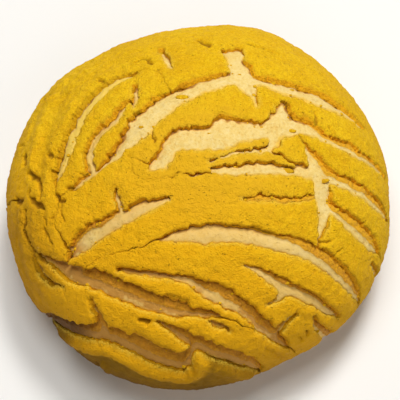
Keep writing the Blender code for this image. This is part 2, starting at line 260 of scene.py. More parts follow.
depth_v, depth_u = np.gradient(softened(ranked[-1], EDGE_SMOOTHING), SHEET_STEP)
fronting = between(depth_v + depth_u * SIDE_SHARE * sheet_u, 0.05, 0.65)
ragged = fronting * (RAGGED_LOW + RAGGED_HIGH * between(sheet_v, -18, -8))
crumbling = (CRUMBLE + ragged) * uneven(flat_grid, 2.1, 5).clip(0)
fine_crumbling = (CRUMBLE + ragged) * uneven(flat_grid, 0.95, 6).clip(0)
crumbling += fine_crumbling - CRUMBLE_MEAN - RAGGED_MEAN * ragged
gaping = close_to(STRIP_SLIT, sheet_u, sheet_v, 2.0, 3.5)
crumbling = crumbling * (1 - tightness) - HAIRLINE_CLOSES * tightness * (1 - gaping)
crumbling += SLIT_GAPES * gaping
paste_depth = ranked[-1] - crumbling


def way_to_paste(step):
    """How far each point of the grid is from the paste behind it (step 1) or in front (-1)."""
    far = np.full(sheet_u.shape, REACH)
    rows = range(len(sheet_axis))
    for row in rows[-2::-1] if step > 0 else rows[1:]:
        onward = np.minimum(far[row + step] + SHEET_STEP, REACH)
        far[row] = np.where(paste_depth[row] > 0, 0, onward)
    return far


# The way across a crack: 0 along its upper side, 1 along its lower side.
EDGE_WAY = 0.2
behind, before = way_to_paste(1), way_to_paste(-1)
edge_side = 1 - between(depth_v, -0.4, 0.4)
crack_side = (behind + EDGE_WAY) / (behind + before + 2 * EDGE_WAY)
crack_side = softened(np.where(paste_depth > 0, edge_side, crack_side), 2)

# Front edges broke thick, with a face that leans: its top stands back from its foot, most of all
# on the bun's back half and in two wide faces, least in the slender plate and one upright face.
LEAN_HEIGHT, LEAN_LIMIT, LEAN_LOW, LEAN_HIGH = 2.1, 1.5, 0.20, 0.67
WIDE_FACES = [([(-6, -43.5), (3, -45.5)], 1.9), ([(-16, -53), (-9, -57.5), (-5, -60)], 2.1)]
SLENDER_PLATE = [(1, -44.8), (7, -46.8), (13, -49.6), (19, -53.4)]
UPRIGHT_FACE = [(8, 39), (14, 39), (19, 36)]

back_half = LEAN_LOW + LEAN_HIGH * between(sheet_v, 7, 17)
leaning = (depth_u * SIDE_SHARE * sheet_u + depth_v * back_half).clip(0, LEAN_LIMIT)
leaning *= LEAN_HEIGHT
for route, extra in WIDE_FACES:
    leaning += extra * fronting * close_to(route, sheet_u, sheet_v, 2.5, 5.0)
slender = close_to(SLENDER_PLATE, sheet_u, sheet_v, 2.5, 4.5)
upright = close_to(UPRIGHT_FACE, sheet_u, sheet_v, 3.0, 5.0)
leaning *= (1 - 0.85 * tightness) * (1 - 0.8 * slender) * (1 - 0.85 * upright)


def add_piece(name, places, faces, marks):
    """A mesh object from places in millimetres; marks are named values, one for each point."""
    mesh = bpy.data.meshes.new(name)
    mesh.vertices.add(len(places))
    mesh.vertices.foreach_set("co", (np.asarray(places) * 0.001).astype(np.float32).ravel())
    counts = np.concatenate([np.full(len(block), block.shape[1]) for block in faces])
    corners = np.concatenate([block.ravel() for block in faces])
    mesh.loops.add(len(corners))
    mesh.loops.foreach_set("vertex_index", corners.astype(np.int32))
    mesh.polygons.add(len(counts))
    mesh.polygons.foreach_set("loop_start", np.append(0, np.cumsum(counts)[:-1]).astype(np.int32))
    mesh.update(calc_edges=True)
    mesh.validate()
    for mark, values in marks.items():
        attribute = mesh.attributes.new(mark, "FLOAT", "POINT")
        attribute.data.foreach_set("value", np.asarray(values, np.float32))
    mesh.shade_smooth()
    piece = bpy.data.objects.new(name, mesh)
    bpy.context.scene.collection.objects.link(piece)
    return piece


# How far apart the points of the bun's skin are, in the cracks, on the foot and under the paste.
BREAD_STEPS = {"crack": 0.44, "foot": 1.1, "covered": 2.6}
BREAD_SHOWS, FOOT_STARTS, BREAD_WAVER = 1.0, 83, 0.21
BASE_POINTS, BASE_CLEARANCE = 280, 0.6


def bread_points():
    """Points of the bun's skin on the flat sheet, close together where the bread shows."""
    blocks = []
    for kind, spacing in BREAD_STEPS.items():
        axis = np.arange(-BASE_EDGE, BASE_EDGE, spacing)
        u, v = (field.ravel() for field in np.meshgrid(axis, axis))
        u = u + BREAD_WAVER * spacing * uneven(np.stack([u, v], -1), 0.9, 11)
        distance = np.hypot(u, v)
        on_grid = np.maximum(abs(u), abs(v)) < SHEET_HALF - 1
        depth = np.where(on_grid, pick(paste_depth, u, v), -REACH)
        foot = distance >= FOOT_STARTS
        crack = ~foot & (depth < BREAD_SHOWS)
        wanted = {"crack": crack, "foot": foot, "covered": ~foot & ~crack}[kind]
        keep = wanted & (distance < BASE_EDGE - BASE_CLEARANCE)
        blocks.append(np.stack([u[keep], v[keep]], -1))
    turns = np.linspace(0, 2 * math.pi, BASE_POINTS, endpoint=False)
    blocks.append(np.stack([BASE_EDGE * np.cos(turns), BASE_EDGE * np.sin(turns)], -1))
    return np.concatenate(blocks)


def toward_front(u, v):
    """How far points of the sheet lie from the crown toward the low front."""
    return -(0.35 * u + 0.94 * v)


def toward_left(u, v):
    """How far points of the sheet lie from the crown toward the left and a little back."""
    return 0.45 * v - 0.9 * u


def flush_at(u, v):
    """1 far out on the left, where the bread fills its cracks up to the paste."""
    return between(toward_left(u, v), 29, 34)


bread_flat = bread_points()
corners, _, triangles, _, _, _ = delaunay_2d_cdt([Vector(p) for p in bread_flat], [], [], 0, 1e-4)
bread_flat = np.array([(p.x, p.y) for p in corners])
triangles = np.array(triangles)
u, v = bread_flat.T
distance = np.hypot(u, v)
spot = lay(u, v, 0)
to_front, flush = toward_front(u, v), flush_at(u, v)
within = np.maximum(abs(u), abs(v)) < SHEET_HALF - 1
opening = np.where(within, -pick(paste_depth, u, v), REACH)
crossing = np.where(within, pick(crack_side, u, v), 0.5)

# Under the upper side of a crack the bread is torn, with paste stuck to it, out to a share of the
# way across. The share grows from the crown outwards, and is less in one slit and at one tip.
RIGHT_SLIT = [(16, -35), (19, -35.8), (27, -39.8), (36, -42.2), (45, -47)]
LEFT_TIP = [(-40, -31), (-37, -27.5), (-33.5, -25)]
TORN_SHARE, TORN_EXTRA = 0.52, 0.10

left_tip = close_to(LEFT_TIP, u, v, 3.0, 6.5)
torn_share = TORN_SHARE * between(distance, 26, 46) * (1 - between(v, 9, 14))
torn_share *= 1 - between(-u, 32, 35) * between(v, -8, -3)
torn_share *= 1 - 0.5 * close_to(RIGHT_SLIT, u, v, 2.5, 4.0)
torn_share += TORN_EXTRA * between(-u, 16, 26) * between(v, -30, -26) * (1 - between(v, -13, -8))
torn_share *= 1 - 0.7 * left_tip
torn = 1 - between(crossing, torn_share - 0.12, torn_share + 0.10)
torn = np.maximum(torn, close_to(STRIP_SLIT, u, v, 1.3, 2.0))

# The bread is pressed down under the paste and has risen in the cracks, less along their upper
# sides than along their lower sides. Below the crust's rim it is bare.
COVERED_DROP, TORN_RISE, OPEN_RISE = 0.5, 0.7, 0.25
UPPER_SIDE, LOWER_SIDE = 0.85, 1.75
SMALL_LUMP, TORN_LUMP = 0.12, 0.38
BREAD_LUMPS = [(5.0, 0.22, 12), (1.9, 0.16, 13)]
FOOT_LUMPS = [(14, 0.25, 15), (4, 0.10, 16), (1.4, 0.04, 17)]

risen = between(opening, -1.6, 0.5)
sunk_front = between(to_front, 28, 41) * between(-distance, -78, -64)
upper_side = UPPER_SIDE + 0.75 * flush + 0.25 * between(v, 6, 14) - 1.25 * sunk_front
upper_side += 0.5 * between(distance, 62, 76)
lower_side = LOWER_SIDE + 0.15 * flush - 0.45 * sunk_front
crack_lift = upper_side + (lower_side - upper_side) * between(crossing, 0.05, 0.85)
crack_lift = risen * (COVERED_DROP + crack_lift + TORN_RISE * torn * (1 - crossing)) - COVERED_DROP
crack_lift += OPEN_RISE * between(opening, 0.6, 3.0)
crack_lift += risen * layered(spot, BREAD_LUMPS)
crack_lift += (SMALL_LUMP + TORN_LUMP * torn) * uneven(spot, 1.1, 14)
bare = between(distance, 82.5, 86.5)
foot_lift = layered(spot, FOOT_LUMPS) * between(BASE_EDGE - distance, 0, 5)
bread_lift = crack_lift * (1 - bare) + foot_lift * bare
places = lay(u, v, bread_lift)

# A fan of faces round its middle closes the flat base.
on_base_edge = distance > BASE_EDGE - BASE_CLEARANCE / 2
base_edge = np.argsort(np.where(on_base_edge, np.arctan2(v, u), np.inf))[:BASE_POINTS]
places[base_edge, 2] = 0
hub = len(places)
places = np.vstack([places, [[CROWN[0], CROWN[1], 0.0]]])
base = np.stack([np.roll(base_edge, -1), base_edge, np.full(BASE_POINTS, hub)], -1)

# Marks for the finish: how far a crack is open, which also paints narrow cracks with shade, and
# where its bread is browned by the oven under painted shade, tanned by painted shade, dusted or
# yellowed with paste, torn, in painted deep shade or in the painted shade of an edge. The last two
# mark the bun's foot.
PALE_CRACK = [(3.5, -42.2), (7, -44), (11, -46.6)]
NARROW_CRACKS = [[(-20.4, 17.2), (-24, 11.6), (-29.4, 6.8), (-31.8, 1.4), (-30.8, -5)],
                 [(-18.2, 22), (-18.5, 15)]]
FRAYING = [(4, 0.24, 18), (1.2, 0.16, 19)]

# The oven's brown in the low front cracks, partly painted shade, lighter in one pale crack.
baked = between(to_front, 33, 41) * (1 - 0.6 * close_to(PALE_CRACK, u, v, 1.0, 3.5))
pale_fringe = 0.85 - 0.65 * between(to_front, 47, 52)
baked *= 1 - pale_fringe * between(crossing + layered(spot, FRAYING), 0.70, 0.95)
narrow = np.max([close_to(route, u, v, 2.2, 3.0) for route in NARROW_CRACKS], 0)
marks = {
    "open": between(opening + 2.0 * between(crossing, 0.3, 0.7), -0.2, 1.3),
    "baked": baked,
    # Painted shade: tan toward the front and in two narrow cracks, less at one tip.
    "tanned": np.maximum(between(to_front, 4, 26), 0.8 * narrow) * (1 - 0.6 * left_tip),
    "dusted": between(-opening, -1.2, 0.1) * between(crossing, 0.35, 0.8) * (1 - 0.8 * flush),
    "yellowed": between(toward_left(u, v), 27, 33),
    "torn": torn,
    # Painted deep shade at the left end of the front crack.
    "dark": between(-u, 30, 44) * between(-v, 44, 49),
    "shaded": (1 - between(crossing, 0.05, 0.6)) * (0.3 + 0.7 * between(to_front, -5, 15)),
}
marks = {name: np.append(values, 0) for name, values in marks.items()}
marks["foot"] = np.append(bare, 1)
marks["low"] = np.append(between(distance, 78, BASE_EDGE), 1)
bun = add_piece("bread", places, [triangles, base], marks)


class Tone:
    """A value or colour on its way to a finish. Sums with it add the nodes that work them out."""

    def __init__(self, tree, socket):
        self.tree, self.socket = tree, socket

    def node(self, kind, settings, inputs, output=0):
        """Adds a node of this kind, its settings first and then its sockets' values or links."""
        node = self.tree.nodes.new("ShaderNode" + kind)
        for setting, value in settings.items():
            if setting == "stops":
                ramp = node.color_ramp
                while len(ramp.elements) < len(value):
                    ramp.elements.new(0.5)
                for element, (place, colour) in zip(ramp.elements, value):
                    element.position, element.color = place, (*colour, 1)
            else:
                setattr(node, setting, value)
        for name, value in inputs.items():
            socket = node.inputs[name]
            if isinstance(value, Tone):
                self.tree.links.new(value.socket, socket)
            elif hasattr(socket.default_value, "__len__") and len(socket.default_value) == 4:
                socket.default_value = (*value, 1)
            else:
                socket.default_value = value
        return Tone(self.tree, node.outputs[output])

    def maths(self, operation, *values):
        return self.node("Math", {"operation": operation}, dict(enumerate(values)))

    def __add__(self, other):
        return self.maths("ADD", self, other)

    def __sub__(self, other):
        return self.maths("SUBTRACT", self, other)

    def __rsub__(self, other):
        return self.maths("SUBTRACT", other, self)

    def __mul__(self, other):
        return self.maths("MULTIPLY", self, other)

    __radd__, __rmul__ = __add__, __mul__

    def mark(self, name):
        """A value marked on the mesh."""
        return self.node("Attribute", {"attribute_name": name}, {}, "Fac")

    def grain(self, size, detail=3.0, rough=0.55, wriggle=0.0):
        """Noise from 0 to 1 whose lumps are about `size` millimetres across."""
        place = self.node("TexCoord", {}, {}, "Object")
        inputs = {"Vector": place, "Scale": 1000 / size, "Detail": detail, "Roughness": rough}
        return self.node("TexNoise", {}, inputs | {"Distortion": wriggle})

    def over(self, low, high):
        """0 where this is below low and 1 where it is above high."""
        inputs = {"Value": self, "From Min": low, "From Max": high}
        return self.node("MapRange", {"interpolation_type": "SMOOTHSTEP"}, inputs)

    def ramp(self, *stops):
        """The colours along this value, each with the place where it is pure."""
        return self.node("ValToRGB", {"stops": stops}, {"Fac": self})

    def blend(self, share, other):
        """This colour with a share of another laid over it."""
        settings = {"data_type": "RGBA", "clamp_factor": True}
        return self.node("Mix", settings, {0: share, 6: self, 7: other}, 2)

    def bump(self, depth, strength):
        """The surface normal over hills of this height, with `depth` millimetres from 0 to 1."""
        inputs = {"Height": self, "Distance": depth * 0.001, "Strength": strength}
        return self.node("Bump", {}, inputs)


def start_finish(name, roughness):
    """A new material with its shader, and a Tone to work in it."""
    material = bpy.data.materials.new(name)
    material.use_nodes = True
    shader = material.node_tree.nodes["Principled BSDF"]
    shader.inputs["Roughness"].default_value = roughness
    return material, shader, Tone(material.node_tree, None)


def finish_with(shader, sockets):
    """Joins worked-out colours and normals to a shader."""
    for name, value in sockets.items():
        value.tree.links.new(value.socket, shader.inputs[name])


CREAM, CREAM_PALE, CREAM_TAN = (0.77, 0.55, 0.16), (0.82, 0.635, 0.26), (0.70, 0.42, 0.095)
CREAM_YELLOW, PASTE_DUST = (0.82, 0.55, 0.060), (0.84, 0.53, 0.045)
CRACK_BROWN, CRACK_DEEP_SHADE = (0.50, 0.225, 0.030), (0.12, 0.045, 0.004)
TORN_GOLD, TORN_BROWN, SLIT_SHADE_BROWN = (0.84, 0.43, 0.012), (0.60, 0.26, 0.012), (0.34, 0.14, 0.02)
FOOT_GOLD, FOOT_BROWN, BASE_BROWN = (0.62, 0.33, 0.09), (0.36, 0.15, 0.035), (0.27, 0.11, 0.03)
BREAD_ROUGHNESS, BREAD_GLOSS = 0.75, 0.25

bread_finish, shader, tone = start_finish("baked_bread", BREAD_ROUGHNESS)
shader.inputs["Specular IOR Level"].default_value = BREAD_GLOSS
wide, low = tone.mark("open"), tone.mark("low")
mottle, soft, fine = tone.grain(7.0), tone.grain(2.2, 4.0), tone.grain(0.7, 3.0, 0.7)
pores = tone.grain(0.9, 1.0).over(0.60, 0.70)
cream = mottle * 0.25 + soft * 0.30 + fine * 0.45
cream = cream.ramp((0.36, CREAM_TAN), (0.46, CREAM), (0.60, CREAM_PALE))
cream = cream.blend(pores * 0.35, CREAM_TAN)
shade = (tone.mark("shaded") + (soft - 0.5) * 0.9).over(0.25, 1.0)
cream = cream.blend(shade * 0.38, CREAM_TAN)
cream = cream.blend(tone.mark("yellowed") * (0.4 + soft * 0.7), CREAM_YELLOW)
# Painted shade: the cream tans toward the front and in two narrow cracks.
tan = (tone.mark("tanned") + (fine - 0.5) * 0.8).over(0.0, 1.2)
cream = cream.blend(tan * 0.65, CREAM_TAN)
# Painted shade: narrow cracks go dark brown, open cracks show the cream.
crack_bread = (wide + (soft - 0.5) * 0.5).ramp((0.0, SLIT_SHADE_BROWN), (0.4, CREAM_TAN), (0.9, CREAM))
crack_bread = crack_bread.blend(wide.over(0.3, 0.8), cream)
# The low front cracks' bread: the oven's brown with painted shade.
brown = (tone.mark("baked") + (soft - 0.5) * 0.5).over(0.1, 0.9)
crack_bread = crack_bread.blend(brown * 0.85, CRACK_BROWN)
# Paste torn onto the bread, browner where shade is painted toward the front.
torn_paste = tone.mark("tanned") * 0.3 + (1 - soft) * 0.4 + (1 - fine) * 0.8 - 0.24
torn_paste = torn_paste.ramp((0.34, TORN_GOLD), (0.66, TORN_BROWN))
torn_here = (tone.mark("torn") + (fine + soft - 1) * 0.7).over(0.3, 0.6)
crack_bread = crack_bread.blend(torn_here, torn_paste)
dust = (tone.mark("dusted") + (fine - 0.5) * 1.2).over(0.3, 0.9)
crack_bread = crack_bread.blend(dust * 0.7, PASTE_DUST)
# Painted deep shade at the left end of the front crack.
crack_bread = crack_bread.blend(tone.mark("dark") * 0.9, CRACK_DEEP_SHADE)
skin = (low * 0.6 + mottle * 0.5 - 0.1).ramp((0.25, FOOT_GOLD), (0.75, FOOT_BROWN))
skin = skin.blend(low.over(0.93, 0.99), BASE_BROWN)
colour = crack_bread.blend(tone.mark("foot"), skin)
relief = (soft * 0.5 + fine * 0.6 - pores * 0.35) * (1 + tone.mark("torn") * 2.5)
finish_with(shader, {"Base Color": colour, "Normal": relief.bump(0.5, 0.7)})
bun.data.materials.append(bread_finish)
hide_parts("bun")
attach(bun, "root")

# The crust: plates of one sheet of sugar, fat and flour paste, laid over the dough before it
# rose. They stuck to it as they dried, and the rising dough tore them apart along the cracks.
PASTE_THICKNESS, THICKNESS_SWING, RIM_REACH = 2.1, 0.4, 84.0
WALL_RINGS, PASTE_FOOT = (0.2, 0.42, 0.64, 0.86), 0.15
UNDERSIDE_STEP, UNDERSIDE_MARGIN = 3.2, 4
SMALLEST_PATCH = 60

# Marks of the hands and the oven: dents and short splits that don't go through the paste, each
# with a route, a width and a depth, and soft folds, each with a route, a width and a rise.
DENTS = [
    ([(-57.2, 8.6), (-56.2, 6.4), (-56.6, 4.8)], 1.5, 1.4),
    ([(-53.6, 1.2), (-52.2, -1.2), (-50.4, -2.6)], 1.3, 1.5),
    ([(-50.2, -3), (-49.6, -6), (-49.2, -10)], 0.8, 1.0),
    ([(-53, -8.2), (-51.6, -9.8), (-49.6, -11.6), (-48, -12.6)], 1.4, 1.6),
    ([(-60.8, -6), (-59.8, -7.2), (-57.6, -8.2)], 1.4, 1.4),
    ([(-53.6, -5.4), (-53.2, -8)], 0.9, 0.9),
    ([(-46, 4.6), (-44.2, 3.2)], 1.1, 1.1),
    ([(-55.4, -12), (-56, -16.5), (-56, -19.5), (-54.6, -22)], 1.0, 1.1),
    ([(-50.8, -26.6), (-48.6, -29)], 1.4, 1.6),
    ([(-53.8, -25.2), (-53.2, -28.2), (-51, -31.4)], 0.9, 1.0),
    ([(-43.2, -1.6), (-41.4, -3.6)], 0.8, 0.9),
    ([(-42.6, -9.6), (-41.4, -11.8), (-40, -12.4)], 0.9, 1.1),
    ([(-41, -12.6), (-40.6, -16), (-39.6, -18.4)], 0.7, 0.7),
    ([(-47.4, -15.6), (-46, -17.8)], 0.8, 0.8),
    ([(-44.6, -17.2), (-43.2, -16.4)], 0.8, 0.8),
    ([(-47.8, -19.2), (-46.6, -20.4), (-44.6, -24.2)], 0.9, 0.8),
    ([(-38.8, -8.2), (-36.4, -9), (-34.4, -8)], 1.0, 1.2),
    ([(-34.8, -4.4), (-32, -4.8), (-30, -5.2)], 0.7, 0.8),
    ([(-61, 14.5), (-58, 12.6)], 0.8, 0.6),
    ([(-31, 28.8), (-29.4, 27.8)], 1.0, 1.0),
    ([(-33.6, 24.2), (-32.4, 22.4)], 0.6, 0.6),
    ([(-13, 7), (-12, 3)], 0.8, 1.1),
    ([(-13.5, 17.5), (-11, 19.5)], 0.8, 0.8),
    ([(-20, 35), (-18, 36.5), (-16, 36), (-14, 33)], 0.9, 1.0),
    ([(-16.9, -48), (-14.4, -48.5)], 1.2, 1.5),
    ([(1, 45), (2, 43), (4, 40.5)], 1.3, 1.1),
    ([(16, 41), (17.5, 40.8)], 1.1, 1.2),
    ([(17.5, 40.6), (25, 38)], 0.7, 0.6),
    ([(36.2, -24.8), (39.6, -23.4)], 0.6, 0.8),
    ([(43.2, -25.2), (40.6, -28.4)], 0.6, 0.7),
    ([(35.2, 15.8), (35.6, 12), (35.2, 9.6)], 0.7, 0.9),
    ([(40, 12.2), (40.5, 10.2)], 0.6, 0.7),
    ([(8, -22.5), (16, -22.7), (23.8, -24.4)], 0.8, 1.2),
    ([(38.2, -53.4), (38.9, -54.4)], 0.8, 1.1),
    ([(36.2, -55.8), (37.5, -57.4)], 0.6, 0.7),
    ([(18.4, -63.4), (20.2, -64.2)], 0.7, 0.9),
    ([(-14.8, -57), (-11.6, -58.2)], 0.6, 0.9),
    ([(8.2, -58.2), (9.8, -59.2)], 0.6, 0.7),
    ([(24, -60), (36, -68)], 1.2, 0.5),
]
FOLDS = [
    ([(-43, 27), (-46.6, 14), (-49, 2), (-49.6, -8)], 3.2, -0.765),
    ([(-47.6, 28), (-51, 14), (-52.8, 3)], 2.6, 0.595),
    ([(-39, 20), (-43, 8), (-46, -3), (-47, -9)], 2.8, 0.51),
    ([(-52.6, 30), (-56, 14)], 2.4, -0.595),
    ([(-30, 48), (-40, 39), (-46, 28)], 2.6, -0.51),
    ([(-57.8, -11), (-58.6, -18), (-57, -25)], 2.2, 0.595),
    ([(-52, -13), (-51.6, -20), (-49, -25)], 2.8, 0.51),
    ([(-46, -11), (-44.4, -18), (-42.6, -26)], 2.2, 0.34),
    ([(-62, -20), (-60, -32), (-54, -40)], 3.0, -0.425),
]
DENT_FLOOR = 0.15


def marks_of_hands(u, v):
    """How far the dents sink the paste at points of the sheet, and how far the folds raise it."""
    sunk, raised = np.zeros_like(u), np.zeros_like(u)
    for route, width, depth in DENTS:
        sunk = np.maximum(sunk, depth * close_to(route, u, v, DENT_FLOOR * width, width))
    for route, width, rise in FOLDS:
        raised += rise * close_to(route, u, v, 0, width)
    return sunk, raised


# A plate's top rises a little inward from its edges and has soft shoulders, much rounder on the
# puffed plates of the low front. Its back edges feather out. The paste is a little thicker toward
# the front left, rumpled on the left, and has a low ridge along the lowest plate's back edge.
TOP_LEVEL, PASTE_SETTLING = 2, 0.05
CROWNING, CROWNING_WAY = 0.16, 3.5
SHOULDER, SHOULDER_DROP, SHOULDER_ARC = 0.5, 0.16, 0.96
PUFFED_SHOULDER, PUFFED_DROP = 1.4, 0.60
FEATHER_DROP, FEATHER_WAY = 0.50, 2.6
PASTE_LUMPS = [(13, 0.30, 21), (5.5, 0.22, 22), (2.4, 0.22, 23), (1.15, 0.17, 24)]
EDGE_LUMP, EDGE_LUMP_WAY, DENT_WAVER = 0.26, 0.9, 0.8
RUMPLED_SIDE, RUMPLE, SMALL_RUMPLE, RUMPLE_TURN = math.radians(165), 0.32, 0.20, 9
LOWEST_PLATE, RIDGE_RISE = "crust_front", 1.1


def top_height(name, u, v, near, front, tight):
    """How high a plate's top is above the bun at points of the sheet, and how far dents sink it.

    `near` is the way to its nearest edge; `front` and `tight` say what kind of edge that is.
    """
    spot = lay(u, v, TOP_LEVEL)
    puffed = between(toward_front(u, v), 22, 40) * (1 - tight)
    shoulder = SHOULDER + PUFFED_SHOULDER * puffed
    rounding = 1 - np.sqrt(1 - (1 - (near / shoulder).clip(0, 1)) ** 2 * SHOULDER_ARC)
    thickness = PASTE_THICKNESS - THICKNESS_SWING * (u + 1.4 * v) / RIM_REACH
    lift = BED_GAP + thickness + CROWNING * (1 - np.exp(-near / CROWNING_WAY)) - PASTE_SETTLING
    lift -= (SHOULDER_DROP + PUFFED_DROP * puffed) * rounding * (1 - 0.8 * tight)
    feathered = (1 - front) * (1 - tight) * (1 - between(near, 0, FEATHER_WAY))
    lift -= FEATHER_DROP * feathered * (1 - 0.6 * puffed)
    lift += layered(spot, PASTE_LUMPS)
    lift += EDGE_LUMP * uneven(spot, 1.3, 25) * np.exp(-near / EDGE_LUMP_WAY)
    distance, azimuth = np.hypot(u, v), np.arctan2(v, u)
    rumpled = between(np.cos(azimuth - RUMPLED_SIDE), 0.35, 0.9) * between(distance, 36, 46)
    lift += RUMPLE * rumpled * uneven(np.stack([distance, azimuth * RUMPLE_TURN], -1), 3.4, 30)
    lift += SMALL_RUMPLE * rumpled * uneven(spot, 1.6, 32)
    sunk, raised = marks_of_hands(u + DENT_WAVER * uneven(spot, 1.8, 26),
                                  v + DENT_WAVER * uneven(spot, 1.8, 27))
    lift += raised - sunk
    if name == LOWEST_PLATE:
        ridge = (1 - front) * between(-distance, -79, -76)
        lift += RIDGE_RISE * ridge * between(near, 0.3, 2.4) * (1 - between(near, 3.2, 6.0))
    return lift, sunk


# How the paste is coloured: tan round the crown, where the oven toasted it, and painted shade
# elsewhere: olive toward the rim, most on the side away from the light and on the left, darkest
# low down at the front, and orange toward the front. The lowest plate has painted olive shade too,
# but for a band along the front crack.
TAN_PATCH_U, TAN_PATCH_V, TAN_PATCH_SQUASH = 2, -4, 1.3
# The rim's painted shade is strongest toward DARK_SIDE, away from the light, and on LEFT_SIDE.
DARK_SIDE, LEFT_SIDE = math.radians(238), math.radians(204)
FRONT_REACH = 60
FRONT_CRACK = [(-68, -50.4), (-58, -49.6), (-50, -50.4), (-39, -52.2), (-29, -52.4), (-22, -55.2),
               (-13, -60.8), (-3.4, -64.6)]


def toast_and_shade(name, u, v):
    """The marks on a plate, at points of the sheet, for its toasting and its painted shade."""
    far, azimuth = np.hypot(u, v), np.arctan2(v, u)
    to_dark, to_left = np.cos(azimuth - DARK_SIDE), np.cos(azimuth - LEFT_SIDE)
    under = np.zeros(len(u))
    # Painted shade on the lowest plate, beyond a band along the front crack.
    if name == LOWEST_PLATE:
        beyond = between(route_gap(FRONT_CRACK, u, v), 5.8, 8.8)
        under = np.max([beyond, between(far, 72.5, 77.5), between(-u, 42, 50)], 0)
        under *= 1 - 0.9 * between(u, 2, 28)
    from_patch = np.hypot(u - TAN_PATCH_U, TAN_PATCH_SQUASH * (v - TAN_PATCH_V))
    dark_rim = between(far, 54, 78) * (0.25 + 0.75 * between(to_dark, 0.2, 0.9))
    left_rim = 0.7 * between(far, 46, 58) * between(to_left, 0.93, 0.99)
    return {
        "crown": 1 - between(from_patch, 12, 36),
        "rim": np.maximum(dark_rim, left_rim),
        "under": under,
        "lowest": between(far, 72, 84) * between(to_dark, 0.3, 0.9),
        "to_front": toward_front(u, v) / FRONT_REACH,
    }


def plate_cells(depth):
    """The grid cells of a plate: no tiny patches, and no cells that touch only at a corner."""
    solid = depth > -0.45 * SHEET_STEP
    cells = solid[:-1, :-1] & solid[1:, :-1] & solid[:-1, 1:] & solid[1:, 1:]
    while True:
        nw, ne, sw, se = cells[1:, :-1], cells[1:, 1:], cells[:-1, :-1], cells[:-1, 1:]
        rising, falling = ne & sw & ~nw & ~se, nw & se & ~ne & ~sw
        if not (rising.any() or falling.any()):
            break
        j, i = np.nonzero(rising)
        cells[j + 1, i + 1] = False
        j, i = np.nonzero(falling)
        cells[j + 1, i] = False
    left = set(zip(*np.nonzero(cells)))
    kept = []
    while left:
        queue, patch = [left.pop()], []
        while queue:
            j, i = queue.pop()
            patch.append((j, i))
            for step in ((j + 1, i), (j - 1, i), (j, i + 1), (j, i - 1)):
                if step in left:
                    left.remove(step)
                    queue.append(step)
        kept += patch if len(patch) > SMALLEST_PATCH else []
    cells = np.zeros_like(cells)
    cells[tuple(np.array(kept).T)] = True
    return cells


def grid_cells(values):
    """The rows or columns of the grid's cells that hold places along one axis of the sheet."""
    return ((values + SHEET_HALF) / SHEET_STEP).astype(int)


def underside(cells, rim, ties):
    """A coarse skin that closes a plate below: its own flat points, and triangles of numbers.

    The rim's points, rows and columns of the grid, have the first numbers, and each tie is two of
    them that an edge has to join.
    """
    rows, columns = np.nonzero(cells)
    axes = [np.arange(sheet_axis[line.min()], sheet_axis[line.max()], UNDERSIDE_STEP)
            for line in (columns, rows)]
    inner = np.stack([field.ravel() for field in np.meshgrid(*axes)], -1)
    margin = UNDERSIDE_MARGIN
    padded = np.pad(cells, margin)
    i, j = grid_cells(inner).T + margin
    clear = np.ones(len(inner), bool)
    for down, aside in itertools.product(range(-margin, margin + 1), repeat=2):
        clear &= padded[j + down, i + aside]
    inner = inner[clear]
    flat = np.concatenate([np.stack([sheet_axis[rim[:, 1]], sheet_axis[rim[:, 0]]], -1), inner])
    _, _, triangles, origins, _, _ = delaunay_2d_cdt([Vector(p) for p in flat], ties, [], 0, 1e-5)
    home = np.array([origin[0] for origin in origins])
    triangles = home[np.array(triangles)]
    i, j = grid_cells(flat[triangles].mean(1)).T
    return inner, triangles[cells[j, i]]


LEAST_SLOPE, MOST_SHIFT = 0.3, 0.6
WALL_LUMPS = [(2.2, 0.20, 28), (1.1, 0.24, 29)]


